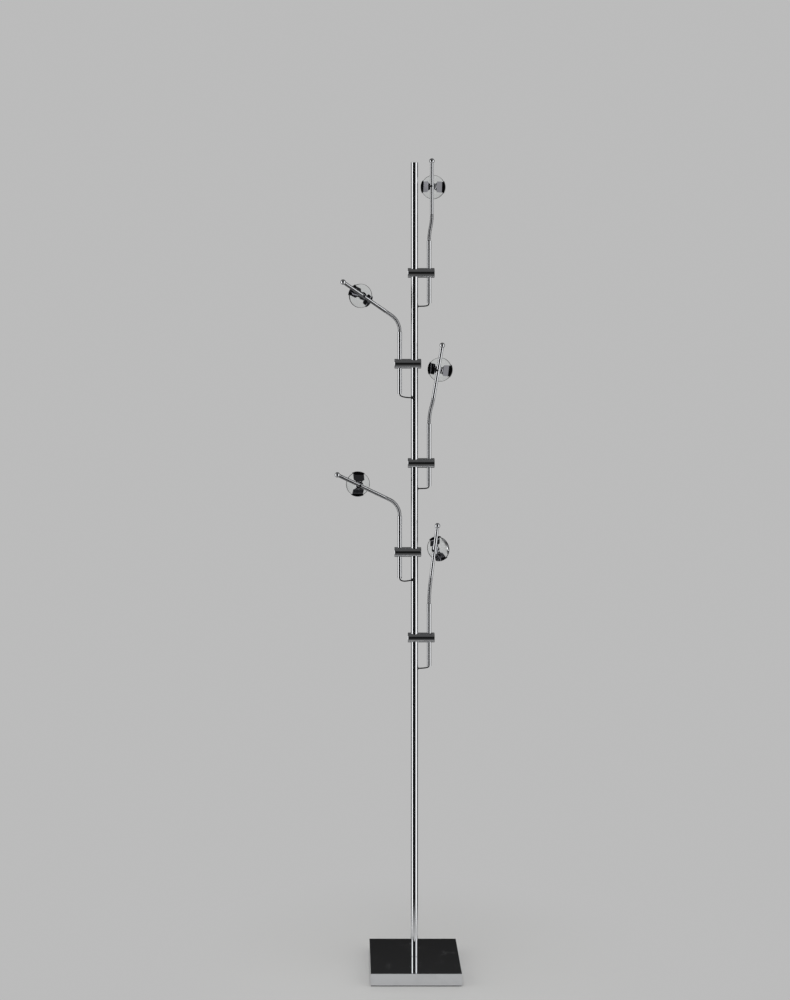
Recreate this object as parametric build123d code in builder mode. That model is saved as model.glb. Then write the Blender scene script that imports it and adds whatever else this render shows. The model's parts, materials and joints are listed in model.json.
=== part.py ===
from build123d import *
import os
from dataclasses import dataclass
from math import cos, pi, radians, sin

os.makedirs("parts", exist_ok=True)

# Tree floor lamp: a square base, one slim pole and five clamped arms. Each arm is a stem, a
# bendable ribbed neck and a ball-tipped rod that carries a lens head on a pivot screw.
# Frame: origin at the centre of the base's underside, +Z up, +Y the way the heads shine, and
# +X to the right of someone who stands behind the heads. All sizes are in millimetres.

# --- Clearances -------------------------------------------------------------------------
running_clearance = 0.05  # radial, where one piece turns or is threaded in another
loose_clearance = 0.3  # between pieces that only pass or lie beside each other

# --- Base -------------------------------------------------------------------------------
base_side = 200.0
base_height = 28.0  # floor to the top of the shell
pad_thickness = 2.0
pad_inset = 1.0
shell_wall = 1.5
shell_edge_radius = 0.8
floor_plate_thickness = 1.5
weight_edge_chamfer = 1.0
nut_recess_diameter = 26.0
nut_recess_web = 6.0  # steel left above the recess
driver_width, driver_depth, driver_height = 70.0, 40.0, 18.0
driver_y = 55.0
driver_edge_radius = 2.0
pocket_clearance = 2.0
harness_channel_width = 8.0
harness_channel_height = 6.0
inlet_channel_width = 14.0
inlet_height = 13.0
inlet_bore = 6.6
inlet_sleeve_wall = 1.5
inlet_sleeve_length = 6.0
inlet_flange_width = 1.8
inlet_flange_thickness = 1.5
floor_screw_inset = 14.0
floor_screw_diameter = 4.0
floor_screw_length = 10.0
floor_screw_head_diameter = 7.0
floor_screw_socket = 2.5  # across flats
floor_screw_socket_depth = 1.2

# --- Pole -------------------------------------------------------------------------------
pole_diameter = 16.0
pole_wall = 1.2
pole_top = 1810.0
pole_upper_length = 167.0
pole_foot_length = 8.0
pole_spigot_length = 25.0
pole_spigot_wall = 1.2
pole_cap_height = 1.5
pole_cap_plug_length = 8.0
pole_edge_chamfer = 0.4
pole_foot_chamfer = 0.8
stud_diameter = 10.0
stud_bore = 6.5
stud_length = 15.7
washer_diameter = 22.0
washer_thickness = 1.5
nut_across_flats = 17.0
nut_thickness = 6.0
harness_diameter = 4.0
harness_bend_radius = 6.0
harness_floor_gap = 0.5
harness_end_drop = 318.0  # pole top down to the output cable's end

# --- Clamps -----------------------------------------------------------------------------
clamp_diameter = 22.0
clamp_pole_overhang = 15.0  # from the pole's axis to the clamp's end
clamp_arm_overhang = 12.0  # from the stem's axis to the clamp's end
clamp_end_chamfer = 0.6
arm_spacing = 33.0  # pole axis to stem axis
set_screw_diameter = 5.0
set_screw_recess = 0.4
set_screw_socket = 2.5  # across flats
set_screw_socket_depth = 2.5

# --- Arms -------------------------------------------------------------------------------
stem_diameter = 9.5
stem_wall = 0.9
stem_length = 120.0
stem_end_wall = 1.2
ferrule_diameter = 10.0
ferrule_length = 20.0
ferrule_socket_depth = 6.0
ferrule_socket_diameter = 8.5
ferrule_bore = 5.6
ferrule_edge_chamfer = 0.2
neck_length = 60.0
neck_diameter = 8.0
neck_valley_diameter = 7.2
neck_bore = 5.0
neck_ribs = 24
rod_diameter = 8.0
rod_wall = 0.9
rod_length = 120.0  # neck to ball centre
ball_diameter = 12.0
ball_bore_gap = 4.0  # solid end of the rod, inside the ball
head_height = 63.0  # neck to the pivot screw's axis

# --- Heads ------------------------------------------------------------------------------
pivot_diameter = 4.0
pivot_head_diameter = 5.5
pivot_head_thickness = 1.8
pivot_socket = 2.5  # across flats
pivot_socket_depth = 1.2
hub_diameter = 18.0
hub_thickness = 4.0
hub_spigot_diameter = 9.0
hub_edge_chamfer = 0.5
ring_nut_diameter = 13.0
ring_nut_thickness = 2.5
bulb_socket_depth = 2.4
bulb_pin_diameter = 4.8
bulb_diameter = 7.0
bulb_length = 5.5
lens_diameter = 54.0
lens_rim = 3.0
lens_curvature_radius = 50.0
lens_back = 18.5  # rod axis to the lens's flat face
strap_thickness = 1.0
strap_shoulder = 21.0  # head axis to the flat that carries the lens
strap_bend_radius = 4.0
strap_waist_width = 14.5
strap_waist = 8.0  # head axis to the narrowest place
strap_wing_start = 11.0
strap_wing_width = 24.5
strap_lip_angle = 60.0
strap_hook = 1.3  # how far the lip turns in over the lens's front
strap_hook_thickness = 0.8

# --- Leads ------------------------------------------------------------------------------
lead_diameter = 2.8
lead_inner_end = 5.2  # pole axis to the end inside the pole
lead_corner_share = 0.45  # of the shorter run beside a corner, taken by the corner's arc
grommet_bore = 3.2
grommet_sleeve_wall = 0.8
grommet_flange_width = 0.9
grommet_flange_thickness = 0.9


def lens_dome(radius):
    """How far the lens's front stands out from its edge, at a radius."""
    edge = (lens_curvature_radius**2 - (lens_diameter / 2) ** 2) ** 0.5
    return (lens_curvature_radius**2 - radius**2) ** 0.5 - edge


# --- Derived sizes ----------------------------------------------------------------------
pole_radius = pole_diameter / 2
pole_bore_radius = pole_radius - pole_wall
pole_seam = pole_top - pole_upper_length
shell_inner_top = base_height - shell_wall
floor_plate_top = pad_thickness + floor_plate_thickness
inner_side = base_side - 2 * (shell_wall + loose_clearance)
harness_z = floor_plate_top + harness_floor_gap + harness_diameter / 2
recess_top = shell_inner_top - nut_recess_web
hub_rear = rod_diameter / 2 + loose_clearance
hub_front = hub_rear + hub_thickness
strap_back = hub_front
ring_nut_rear = strap_back + strap_thickness
bulb_seat = ring_nut_rear + ring_nut_thickness
lens_radius = lens_diameter / 2
lip_inner_radius = lens_radius + loose_clearance
lip_outer_radius = lip_inner_radius + strap_thickness
shoulder_height = lens_back - strap_thickness
lens_edge_front = lens_back + lens_rim
hook_inner_radius = lip_inner_radius - strap_hook
hook_rear = lens_edge_front + lens_dome(hook_inner_radius) + loose_clearance

UP = Vector(0, 0, 1)


@dataclass
class Arm:
    """One arm as it is set in the lamp. Azimuths turn from +X towards +Y, in degrees."""

    name: str
    side: int  # +1 right of the pole, -1 left
    clamp_drop: float  # pole top to clamp centre
    stem_drop: float  # clamp centre to the stem's lower end
    neck_turns: list  # (share of the neck, turn in degrees) of each stretch
    bend_azimuth: float
    aim: tuple  # rough way that the head shines
    strap_angle: float  # from the rod, about the head's axis
    lead_azimuth: float  # where the lead enters the pole
    lead_drop: float  # stem's lower end down to the hole in the pole
    lead_reach: float  # pole axis to the route's point in front of the hole
    lead_route: list  # points from the stem's lower end, hand-chosen

    @property
    def clamp_height(self):
        return pole_top - self.clamp_drop

    @property
    def stem_end(self):
        return Vector(self.side * arm_spacing, 0, self.clamp_height - self.stem_drop)

    @property
    def neck_base(self):
        return self.stem_end + UP * (stem_length + ferrule_length)

    @property
    def bend_direction(self):
        return Vector(cos(radians(self.bend_azimuth)), sin(radians(self.bend_azimuth)), 0)

    @property
    def bend_axis(self):
        return UP.cross(self.bend_direction)

    def neck_plane(self, distance):
        """The cross-section plane of the neck at a distance along its centreline."""
        across = rise = angle = 0.0
        for share, turn in self.neck_turns:
            length = share * neck_length
            step = min(distance, length)
            bend = radians(turn) * step / length
            if turn:
                radius = length / radians(turn)
                across += radius * (cos(angle) - cos(angle + bend))
                rise += radius * (sin(angle + bend) - sin(angle))
            else:
                across += step * sin(angle)
                rise += step * cos(angle)
            angle += bend
            distance -= step
        return Plane(
            origin=self.neck_base + self.bend_direction * across + UP * rise,
            x_dir=self.bend_axis,
            z_dir=self.bend_direction * sin(angle) + UP * cos(angle),
        )

    @property
    def rod_plane(self):
        return self.neck_plane(neck_length)

    @property
    def head_plane(self):
        """Origin on the rod's axis, +Z the way the head shines, +X along the strap."""
        rod = self.rod_plane
        aim = Vector(*self.aim)
        axis = (aim - rod.z_dir * aim.dot(rod.z_dir)).normalized()
        strap = rod.z_dir.rotate(Axis((0, 0, 0), axis), self.strap_angle)
        return Plane(origin=rod.origin + rod.z_dir * head_height, x_dir=strap, z_dir=axis)

    @property
    def lead_entry(self):
        """The hole's plane on the pole's axis, +Z out of the hole."""
        outward = Vector(cos(radians(self.lead_azimuth)), sin(radians(self.lead_azimuth)), 0)
        return Plane(origin=UP * (self.stem_end.Z - self.lead_drop), x_dir=UP, z_dir=outward)

    @property
    def lead_points(self):
        entry = self.lead_entry
        route = [self.stem_end + Vector(*offset) for offset in self.lead_route]
        ends = [entry.origin + entry.z_dir * reach for reach in (self.lead_reach, lead_inner_end)]
        return route + ends


ARMS = [
    Arm("1", 1, 248, 68, [(0.5, 12), (0.5, -12)], 0, (0.19, 0.98, 0), 92, 0, 7.0, 14,
        [(0, 0, 5), (0, 0, -2.6), (-4.6, 0, -6.3)]),
    Arm("2", -1, 452, 68, [(0.73, 57.4), (0.27, 0)], 199.5, (-0.33, 0.94, 0.05), 0, 227.5, 8.0, 16,
        [(0, 0, 5), (0, 0, -1.6), (2.6, -2.6, -4.6), (9.5, -8.0, -6.8)]),
    Arm("3", 1, 675, 52, [(0.33, 8.2), (0.34, 10.1), (0.33, -7.5)], -31.4, (0.28, 0.96, 0.05), 87, 0, 5.6, 14,
        [(0, 0, 5), (0, 0, -1.8), (-4.4, 0, -5.0)]),
    Arm("4", -1, 875, 59, [(0.77, 64.2), (0.23, 0)], 193.3, (-0.2, 0.98, 0.07), 66, 240, 2.4, 15,
        [(0, 0, 5), (0, 0, -1.6), (2.8, -2.2, -4.8), (9.0, -7.6, -5.6), (17.0, -12.0, -4.2)]),
    Arm("5", 1, 1067, 64, [(0.83, 10.2), (0.17, 0)], -50, (0.47, 0.88, 0.01), -27, 0, 5.4, 15,
        [(0, 0, 5), (0, 0, -1.4), (-4.8, 0, -4.0)]),
]


def save(builder, name):
    builder.part.label = name
    export_step(builder.part, f"parts/{name}.step")


def save_group(builders, name):
    """One node of separate solids that touch, which a builder would fuse."""
    group = Compound([solid for builder in builders for solid in builder.part.solids()])
    group.label = name
    export_step(group, f"parts/{name}.step")


def tube(outer_radius, inner_radius):
    """A ring profile in the sketch being built."""
    Circle(outer_radius)
    Circle(inner_radius, mode=Mode.SUBTRACT)


def hexagon(plane, across_flats):
    """The profile of a hexagon socket or nut."""
    with BuildSketch(plane) as profile:
        RegularPolygon(across_flats / 2, 6, major_radius=False)
    return profile.sketch


# === Base ===============================================================================
def make_base_shell():
    """The chromed cover, folded down on four sides and open below."""
    with BuildPart() as shell:
        with BuildSketch(Plane.XY.offset(pad_thickness)):
            Rectangle(base_side, base_side)
        extrude(amount=base_height - pad_thickness)
        upper = shell.edges().group_by(Axis.Z)[-1]
        upright = shell.edges().filter_by(Axis.Z)
        fillet(upper + upright, shell_edge_radius)
        with BuildSketch(Plane.XY.offset(pad_thickness)):
            Rectangle(base_side - 2 * shell_wall, base_side - 2 * shell_wall)
        extrude(amount=shell_inner_top - pad_thickness, mode=Mode.SUBTRACT)
        with BuildSketch(Plane.XY.offset(base_height)):
            Circle(stud_diameter / 2 + loose_clearance)
        extrude(amount=-2 * shell_wall, mode=Mode.SUBTRACT)
        with BuildSketch(Plane.XZ.offset(-base_side / 2)):
            with Locations((0, inlet_height)):
                Circle(inlet_bore / 2 + inlet_sleeve_wall + running_clearance)
        extrude(amount=2 * shell_wall, mode=Mode.SUBTRACT)
    save(shell, "base_shell")


def floor_screw_places():
    reach = base_side / 2 - floor_screw_inset
    return [(x, y) for x in (-reach, reach) for y in (-reach, reach)]


def make_base_weight():
    """The steel slab, with the recess, pocket and channels cut from below."""
    pocket_front = driver_y - driver_depth / 2 - pocket_clearance
    pocket_rear = driver_y + driver_depth / 2 + pocket_clearance
    with BuildPart() as weight:
        with BuildSketch(Plane.XY.offset(floor_plate_top)):
            Rectangle(inner_side, inner_side)
        extrude(amount=shell_inner_top - floor_plate_top)
        chamfer(weight.edges().filter_by(Axis.Z), weight_edge_chamfer)
        with BuildSketch(Plane.XY.offset(floor_plate_top)):
            Circle(stud_diameter / 2 + loose_clearance)
        extrude(until=Until.LAST, mode=Mode.SUBTRACT)
        with BuildSketch(Plane.XY.offset(floor_plate_top)):
            Circle(nut_recess_diameter / 2)
        extrude(amount=recess_top - floor_plate_top, mode=Mode.SUBTRACT)
        with BuildSketch(Plane.XY.offset(floor_plate_top)):
            with Locations((0, driver_y)):
                Rectangle(driver_width + 2 * pocket_clearance, driver_depth + 2 * pocket_clearance)
        extrude(amount=driver_height + loose_clearance, mode=Mode.SUBTRACT)
        with BuildSketch(Plane.XY.offset(floor_plate_top)):
            with Locations((0, pocket_front / 2)):
                Rectangle(harness_channel_width, pocket_front)
        extrude(amount=harness_channel_height, mode=Mode.SUBTRACT)
        with BuildSketch(Plane.XY.offset(floor_plate_top)):
            with Locations((0, (pocket_rear + base_side / 2) / 2)):
                Rectangle(inlet_channel_width, base_side / 2 - pocket_rear)
        extrude(amount=driver_height + loose_clearance, mode=Mode.SUBTRACT)
        with BuildSketch(Plane.XY.offset(floor_plate_top)):
            with Locations(*floor_screw_places()):
                Circle(floor_screw_diameter / 2 + running_clearance)
        extrude(amount=floor_screw_length, mode=Mode.SUBTRACT)
    save(weight, "base_weight")


def make_base_floor_plate():
    """The steel plate that closes the base, with four countersunk holes."""
    with BuildPart() as plate:
        with BuildSketch(Plane.XY.offset(pad_thickness)):
            Rectangle(inner_side, inner_side)
        extrude(amount=floor_plate_thickness)
        with Locations(plate.faces().sort_by(Axis.Z)[0]):
            with Locations(*floor_screw_places()):
                CounterSinkHole(
                    floor_screw_diameter / 2 + loose_clearance,
                    floor_screw_head_diameter / 2 + loose_clearance,
                )
    save(plate, "base_floor_plate")


def make_base_pad():
    """The soft sheet that the lamp stands on."""
    with BuildPart() as pad:
        with BuildSketch():
            RectangleRounded(base_side - 2 * pad_inset, base_side - 2 * pad_inset, pad_inset)
        extrude(amount=pad_thickness)
    save(pad, "base_pad")


def make_driver():
    """The power supply in its pocket, and its output cable that runs up inside the pole."""
    front = driver_y - driver_depth / 2
    with BuildPart() as driver:
        with BuildSketch(Plane.XY.offset(floor_plate_top)):
            with Locations((0, driver_y)):
                RectangleRounded(driver_width, driver_depth, driver_edge_radius)
        extrude(amount=driver_height)
    with BuildPart() as harness:
        with BuildLine() as route:
            FilletPolyline(
                (0, front, harness_z),
                (0, 0, harness_z),
                (0, 0, pole_top - harness_end_drop),
                radius=harness_bend_radius,
            )
        path = route.wire()
        with BuildSketch(Plane(path @ 0, z_dir=path % 0)):
            Circle(harness_diameter / 2)
        sweep(path=path)
    save_group([driver, harness], "driver")


def make_base_fasteners():
    """The pole's washer and nut, and the floor plate's four countersunk screws."""
    nut_top = recess_top - washer_thickness
    hole_radius = stud_diameter / 2 + running_clearance
    with BuildPart() as washer:
        with BuildSketch(Plane.XY.offset(nut_top)):
            tube(washer_diameter / 2, hole_radius)
        extrude(amount=washer_thickness)
    with BuildPart() as nut:
        with BuildSketch(Plane.XY.offset(nut_top - nut_thickness)):
            RegularPolygon(nut_across_flats / 2, 6, major_radius=False)
            Circle(hole_radius, mode=Mode.SUBTRACT)
        extrude(amount=nut_thickness)
    with BuildPart() as screws:
        for x, y in floor_screw_places():
            revolve(floor_screw_profile(x, y), axis=Axis((x, y, 0), (0, 0, 1)))
            socket = Plane(origin=(x, y, pad_thickness))
            extrude(hexagon(socket, floor_screw_socket), amount=floor_screw_socket_depth, mode=Mode.SUBTRACT)
    save_group([washer, nut, screws], "base_fasteners")


def floor_screw_profile(x, y):
    """Half of a countersunk screw's section, its head level with the plate's underside."""
    head_height = (floor_screw_head_diameter - floor_screw_diameter) / 2
    plane = Plane(origin=(x, y, pad_thickness), x_dir=(1, 0, 0), z_dir=(0, -1, 0))
    with BuildSketch(plane) as profile:
        with BuildLine():
            Polyline(
                (0, 0),
                (floor_screw_head_diameter / 2, 0),
                (floor_screw_diameter / 2, head_height),
                (floor_screw_diameter / 2, floor_screw_length),
                (0, floor_screw_length),
                close=True,
            )
        make_face()
    return profile.sketch


# === Pole ===============================================================================
def make_pole_lower():
    """The long tube, with the lead holes and the hollow threaded stud that goes into the base."""
    with BuildPart() as pole:
        with BuildSketch(Plane.XY.offset(base_height)):
            Circle(pole_radius)
        extrude(amount=pole_seam - base_height)
        chamfer(pole.edges().group_by(Axis.Z)[0], pole_foot_chamfer)
        chamfer(pole.edges().group_by(Axis.Z)[-1], pole_edge_chamfer)
        with BuildSketch(Plane.XY.offset(base_height + pole_foot_length)):
            Circle(pole_bore_radius)
        extrude(amount=pole_seam - base_height, mode=Mode.SUBTRACT)
        with BuildSketch(Plane.XY.offset(base_height)):
            Circle(stud_diameter / 2)
        extrude(amount=-stud_length)
        with BuildSketch(Plane.XY.offset(base_height - stud_length)):
            Circle(stud_bore / 2)
        extrude(amount=stud_length + pole_foot_length, mode=Mode.SUBTRACT)
        for arm in ARMS:
            with BuildSketch(arm.lead_entry):
                Circle(grommet_bore / 2 + grommet_sleeve_wall + running_clearance)
            extrude(amount=pole_diameter, mode=Mode.SUBTRACT)
    save(pole, "pole_lower")


def make_pole_upper():
    """The short top tube, with a spigot that plugs into the long one."""
    spigot_radius = pole_bore_radius - running_clearance
    with BuildPart() as pole:
        with BuildSketch(Plane.XY.offset(pole_seam)):
            Circle(pole_radius)
        extrude(amount=pole_top - pole_cap_height - pole_seam)
        chamfer(pole.edges().group_by(Axis.Z)[0], pole_edge_chamfer)
        with BuildSketch(Plane.XY.offset(pole_seam)):
            Circle(spigot_radius)
        extrude(amount=-pole_spigot_length)
        with BuildSketch(Plane.XY.offset(pole_seam + pole_foot_length)):
            Circle(pole_bore_radius)
        extrude(amount=pole_top - pole_seam, mode=Mode.SUBTRACT)
        with BuildSketch(Plane.XY.offset(pole_seam - pole_spigot_length)):
            Circle(spigot_radius - pole_spigot_wall)
        extrude(amount=pole_spigot_length + pole_foot_length, mode=Mode.SUBTRACT)
    save(pole, "pole_upper")


def make_pole_cap():
    """The plug that closes the pole's top."""
    with BuildPart() as cap:
        with BuildSketch(Plane.XY.offset(pole_top - pole_cap_height)):
            Circle(pole_radius)
        extrude(amount=pole_cap_height)
        chamfer(cap.edges().group_by(Axis.Z)[-1], pole_edge_chamfer)
        with BuildSketch(Plane.XY.offset(pole_top - pole_cap_height)):
            Circle(pole_bore_radius - running_clearance)
        extrude(amount=-pole_cap_plug_length)
    save(cap, "pole_cap")


def make_cable_grommets():
    """A rubber grommet in each lead hole of the pole, and one in the base's rear wall."""
    sleeve_radius = grommet_bore / 2 + grommet_sleeve_wall
    inlet_radius = inlet_bore / 2 + inlet_sleeve_wall
    inlet_plane = Plane(origin=(0, base_side / 2, inlet_height), x_dir=(1, 0, 0), z_dir=(0, 1, 0))
    with BuildPart() as grommets:
        for arm in ARMS:
            add(pole_grommet(arm.lead_entry, sleeve_radius))
        with BuildSketch(inlet_plane):
            tube(inlet_radius + inlet_flange_width, inlet_bore / 2)
        extrude(amount=inlet_flange_thickness)
        with BuildSketch(inlet_plane):
            tube(inlet_radius, inlet_bore / 2)
        extrude(amount=-inlet_sleeve_length)
    save(grommets, "cable_grommets")


def pole_grommet(entry, sleeve_radius):
    """One grommet, its flange hollowed to sit on the pole."""
    with BuildPart() as flange:
        with BuildSketch(entry):
            tube(sleeve_radius + grommet_flange_width, grommet_bore / 2)
        extrude(amount=pole_radius + grommet_flange_thickness)
        with BuildSketch(Plane.XY.offset(entry.origin.Z - pole_diameter)):
            Circle(pole_radius + running_clearance)
        extrude(amount=2 * pole_diameter, mode=Mode.SUBTRACT)
        with BuildSketch(entry.offset(pole_bore_radius)):
            tube(sleeve_radius, grommet_bore / 2)
        extrude(amount=pole_wall + grommet_flange_thickness / 2)
    return flange.part


# === Arms ===============================================================================
def make_clamp(arm):
    """The chromed cylinder that holds the stem beside the pole."""
    length = clamp_pole_overhang + arm_spacing + clamp_arm_overhang
    axis = Vector(arm.side, 0, 0)
    centre = UP * arm.clamp_height
    pole_end = Plane(origin=centre - axis * clamp_pole_overhang, x_dir=UP, z_dir=axis)
    arm_end = pole_end.offset(length)
    with BuildPart() as clamp:
        with BuildSketch(pole_end):
            Circle(clamp_diameter / 2)
        extrude(amount=length)
        chamfer(clamp.edges().filter_by(GeomType.CIRCLE), clamp_end_chamfer)
        with BuildSketch(Plane.XY.offset(arm.clamp_height)):
            Circle(pole_radius + running_clearance)
            with Locations((arm.side * arm_spacing, 0)):
                Circle(stem_diameter / 2 + running_clearance)
        extrude(amount=clamp_diameter, both=True, mode=Mode.SUBTRACT)
        with BuildSketch(pole_end):
            Circle(set_screw_diameter / 2 + running_clearance)
        extrude(amount=clamp_pole_overhang, mode=Mode.SUBTRACT)
        with BuildSketch(arm_end):
            Circle(set_screw_diameter / 2 + running_clearance)
        extrude(amount=-clamp_arm_overhang, mode=Mode.SUBTRACT)
    save(clamp, f"clamp_{arm.name}")


def make_clamp_screws(arm):
    """The set screws in the clamp's two ends, one towards the pole and one towards the stem."""
    axis = Vector(arm.side, 0, 0)
    centre = UP * arm.clamp_height
    pole_end = centre - axis * (clamp_pole_overhang - set_screw_recess)
    arm_end = centre + axis * (arm_spacing + clamp_arm_overhang - set_screw_recess)
    pole_screw = clamp_pole_overhang - set_screw_recess - pole_radius - loose_clearance
    arm_screw = clamp_arm_overhang - set_screw_recess - stem_diameter / 2 - loose_clearance
    with BuildPart() as screws:
        for end, outward, length in ((pole_end, -axis, pole_screw), (arm_end, axis, arm_screw)):
            plane = Plane(origin=end, x_dir=UP, z_dir=outward)
            with BuildSketch(plane):
                Circle(set_screw_diameter / 2)
            extrude(amount=-length)
            socket = hexagon(plane, set_screw_socket)
            extrude(socket, amount=-set_screw_socket_depth, mode=Mode.SUBTRACT)
    save(screws, f"clamp_screws_{arm.name}")


def make_stem(arm):
    """The tube that the clamp grips, closed round the lead below, and the ferrule on its top."""
    start = Plane(origin=arm.stem_end)
    top = start.offset(stem_length)
    spigot_radius = ferrule_socket_diameter / 2 - running_clearance
    with BuildPart() as stem:
        with BuildSketch(start):
            Circle(stem_diameter / 2)
        extrude(amount=stem_length)
        with BuildSketch(top):
            Circle(spigot_radius)
        extrude(amount=ferrule_socket_depth - loose_clearance)
        with BuildSketch(start.offset(stem_end_wall)):
            Circle(stem_diameter / 2 - stem_wall)
        extrude(amount=stem_length - stem_end_wall - ferrule_socket_depth, mode=Mode.SUBTRACT)
        with BuildSketch(start):
            Circle(ferrule_bore / 2)
        extrude(amount=2 * stem_length, mode=Mode.SUBTRACT)
        with BuildSketch(start):
            tube(stem_diameter / 2, lead_diameter / 2 + loose_clearance)
        extrude(amount=stem_end_wall)
    with BuildPart() as ferrule:
        with BuildSketch(top):
            tube(ferrule_diameter / 2, ferrule_bore / 2)
        extrude(amount=ferrule_length)
        with BuildSketch(top):
            Circle(ferrule_socket_diameter / 2)
        extrude(amount=ferrule_socket_depth, mode=Mode.SUBTRACT)
        chamfer(ferrule.edges().group_by(Axis.Z)[0].sort_by(SortBy.LENGTH)[-1], ferrule_edge_chamfer)
    save_group([stem, ferrule], f"stem_{arm.name}")


def rib_circles():
    """(distance along the neck, radius) of four circles a rib: up, along the crest and down."""
    valley, crest = neck_valley_diameter / 2, neck_diameter / 2
    pitch = neck_length / neck_ribs
    shares = ((0.0, valley), (0.25, crest), (0.65, crest), (0.9, valley))
    ribs = [((rib + share) * pitch, radius) for rib in range(neck_ribs) for share, radius in shares]
    return ribs + [(neck_length, valley)]


def make_neck(arm):
    """The ribbed tube that bends and stays bent."""
    with BuildPart() as neck:
        for distance, radius in rib_circles():
            with BuildSketch(arm.neck_plane(distance)):
                Circle(radius)
        loft(ruled=True)
        for rib in range(neck_ribs + 1):
            with BuildSketch(arm.neck_plane(rib * neck_length / neck_ribs)):
                Circle(neck_bore / 2)
        loft(ruled=True, mode=Mode.SUBTRACT)
    save(neck, f"neck_{arm.name}")


def make_rod(arm):
    """The tube with a ball on its end and a cross hole for the pivot screw."""
    start = arm.rod_plane
    with BuildPart() as rod:
        with BuildSketch(start):
            Circle(rod_diameter / 2)
        extrude(amount=rod_length)
        with Locations(start.offset(rod_length)):
            Sphere(ball_diameter / 2)
        with BuildSketch(start):
            Circle(rod_diameter / 2 - rod_wall)
        extrude(amount=rod_length - ball_bore_gap, mode=Mode.SUBTRACT)
        with BuildSketch(arm.head_plane):
            Circle(pivot_diameter / 2 + running_clearance)
        extrude(amount=rod_diameter, both=True, mode=Mode.SUBTRACT)
    save(rod, f"rod_{arm.name}")


# === Heads ==============================================================================
def make_holder(arm):
    """The lamp holder's hub, the ring nut that holds the strap on it, and the pivot screw."""
    head = arm.head_plane
    with BuildPart() as hub:
        with BuildSketch(head.offset(hub_rear)):
            Circle(hub_diameter / 2)
        extrude(amount=hub_thickness)
        chamfer(hub.edges().filter_by(GeomType.CIRCLE), hub_edge_chamfer)
        with BuildSketch(head.offset(hub_front)):
            Circle(hub_spigot_diameter / 2)
        extrude(amount=bulb_seat - hub_front)
        with BuildSketch(head.offset(bulb_seat)):
            Circle(bulb_pin_diameter / 2 + running_clearance)
        extrude(amount=-bulb_socket_depth, mode=Mode.SUBTRACT)
        with BuildSketch(head.offset(hub_rear)):
            Circle(pivot_diameter / 2 + running_clearance)
        extrude(amount=hub_thickness, mode=Mode.SUBTRACT)
    with BuildPart() as ring_nut:
        with BuildSketch(head.offset(ring_nut_rear)):
            tube(ring_nut_diameter / 2, hub_spigot_diameter / 2 + running_clearance)
        extrude(amount=ring_nut_thickness)
    with BuildPart() as pivot:
        with BuildSketch(head.offset(-hub_rear)):
            Circle(pivot_head_diameter / 2)
        extrude(amount=-pivot_head_thickness)
        with BuildSketch(head.offset(-hub_rear)):
            Circle(pivot_diameter / 2)
        extrude(amount=hub_rear + hub_front - loose_clearance)
        socket = hexagon(head.offset(-hub_rear - pivot_head_thickness), pivot_socket)
        extrude(socket, amount=pivot_socket_depth, mode=Mode.SUBTRACT)
    save_group([hub, ring_nut, pivot], f"holder_{arm.name}")


def make_bulb(arm):
    """The capsule bulb, its base pushed into the holder."""
    head = arm.head_plane
    radius = bulb_diameter / 2
    with BuildPart() as bulb:
        with BuildSketch(head.offset(bulb_seat)):
            Circle(radius)
        extrude(amount=bulb_length - radius)
        with Locations(head.offset(bulb_seat + bulb_length - radius)):
            Sphere(radius, arc_size1=0, align=(Align.CENTER, Align.CENTER, Align.MIN))
        with BuildSketch(head.offset(bulb_seat)):
            Circle(bulb_pin_diameter / 2)
        extrude(amount=loose_clearance - bulb_socket_depth)
    save(bulb, f"bulb_{arm.name}")


def make_lens(arm):
    """The clear glass lens, flat towards the bulb and domed away from it."""
    head = arm.head_plane
    profile = Plane(head.origin, x_dir=head.x_dir, z_dir=-head.y_dir)
    dome_top = lens_edge_front + lens_dome(0)
    with BuildPart() as lens:
        with BuildSketch(profile):
            with BuildLine():
                Line((0, lens_back), (lens_radius, lens_back))
                Line((lens_radius, lens_back), (lens_radius, lens_edge_front))
                RadiusArc(
                    (lens_radius, lens_edge_front),
                    (0, dome_top),
                    -lens_curvature_radius,
                )
                Line((0, dome_top), (0, lens_back))
            make_face()
        revolve(axis=Axis(head.origin, head.z_dir))
    save(lens, f"lens_{arm.name}")


def make_strap(arm):
    """The sprung strap: an arch from the hub out to two lips that grip the lens's rim."""
    head = arm.head_plane
    profile = Plane(head.origin, x_dir=head.x_dir, z_dir=-head.y_dir)
    hub_edge = hub_diameter / 2
    with BuildPart() as strap:
        with BuildSketch(profile):
            with BuildLine():
                FilletPolyline(
                    (-lip_outer_radius, shoulder_height),
                    (-strap_shoulder, shoulder_height),
                    (-hub_edge, strap_back),
                    (hub_edge, strap_back),
                    (strap_shoulder, shoulder_height),
                    (lip_outer_radius, shoulder_height),
                    radius=strap_bend_radius,
                )
                offset(amount=strap_thickness, side=Side.LEFT)
            make_face()
        extrude(amount=lip_outer_radius, both=True)
        with BuildSketch(head):
            with BuildLine():
                Polyline(*bow_tie_corners(), close=True)
            make_face()
            Circle(hub_edge)
            Circle(lip_outer_radius, mode=Mode.INTERSECT)
            Circle(hub_spigot_diameter / 2 + running_clearance, mode=Mode.SUBTRACT)
        extrude(amount=lens_edge_front, mode=Mode.INTERSECT)
        for turn in (0, 180):
            start = head.x_dir.rotate(Axis((0, 0, 0), head.z_dir), turn - strap_lip_angle / 2)
            section = lip_profile(Plane(head.origin, x_dir=start, z_dir=start.cross(head.z_dir)))
            revolve(section, axis=Axis(head.origin, head.z_dir), revolution_arc=strap_lip_angle)
    save(strap, f"strap_{arm.name}")


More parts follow.
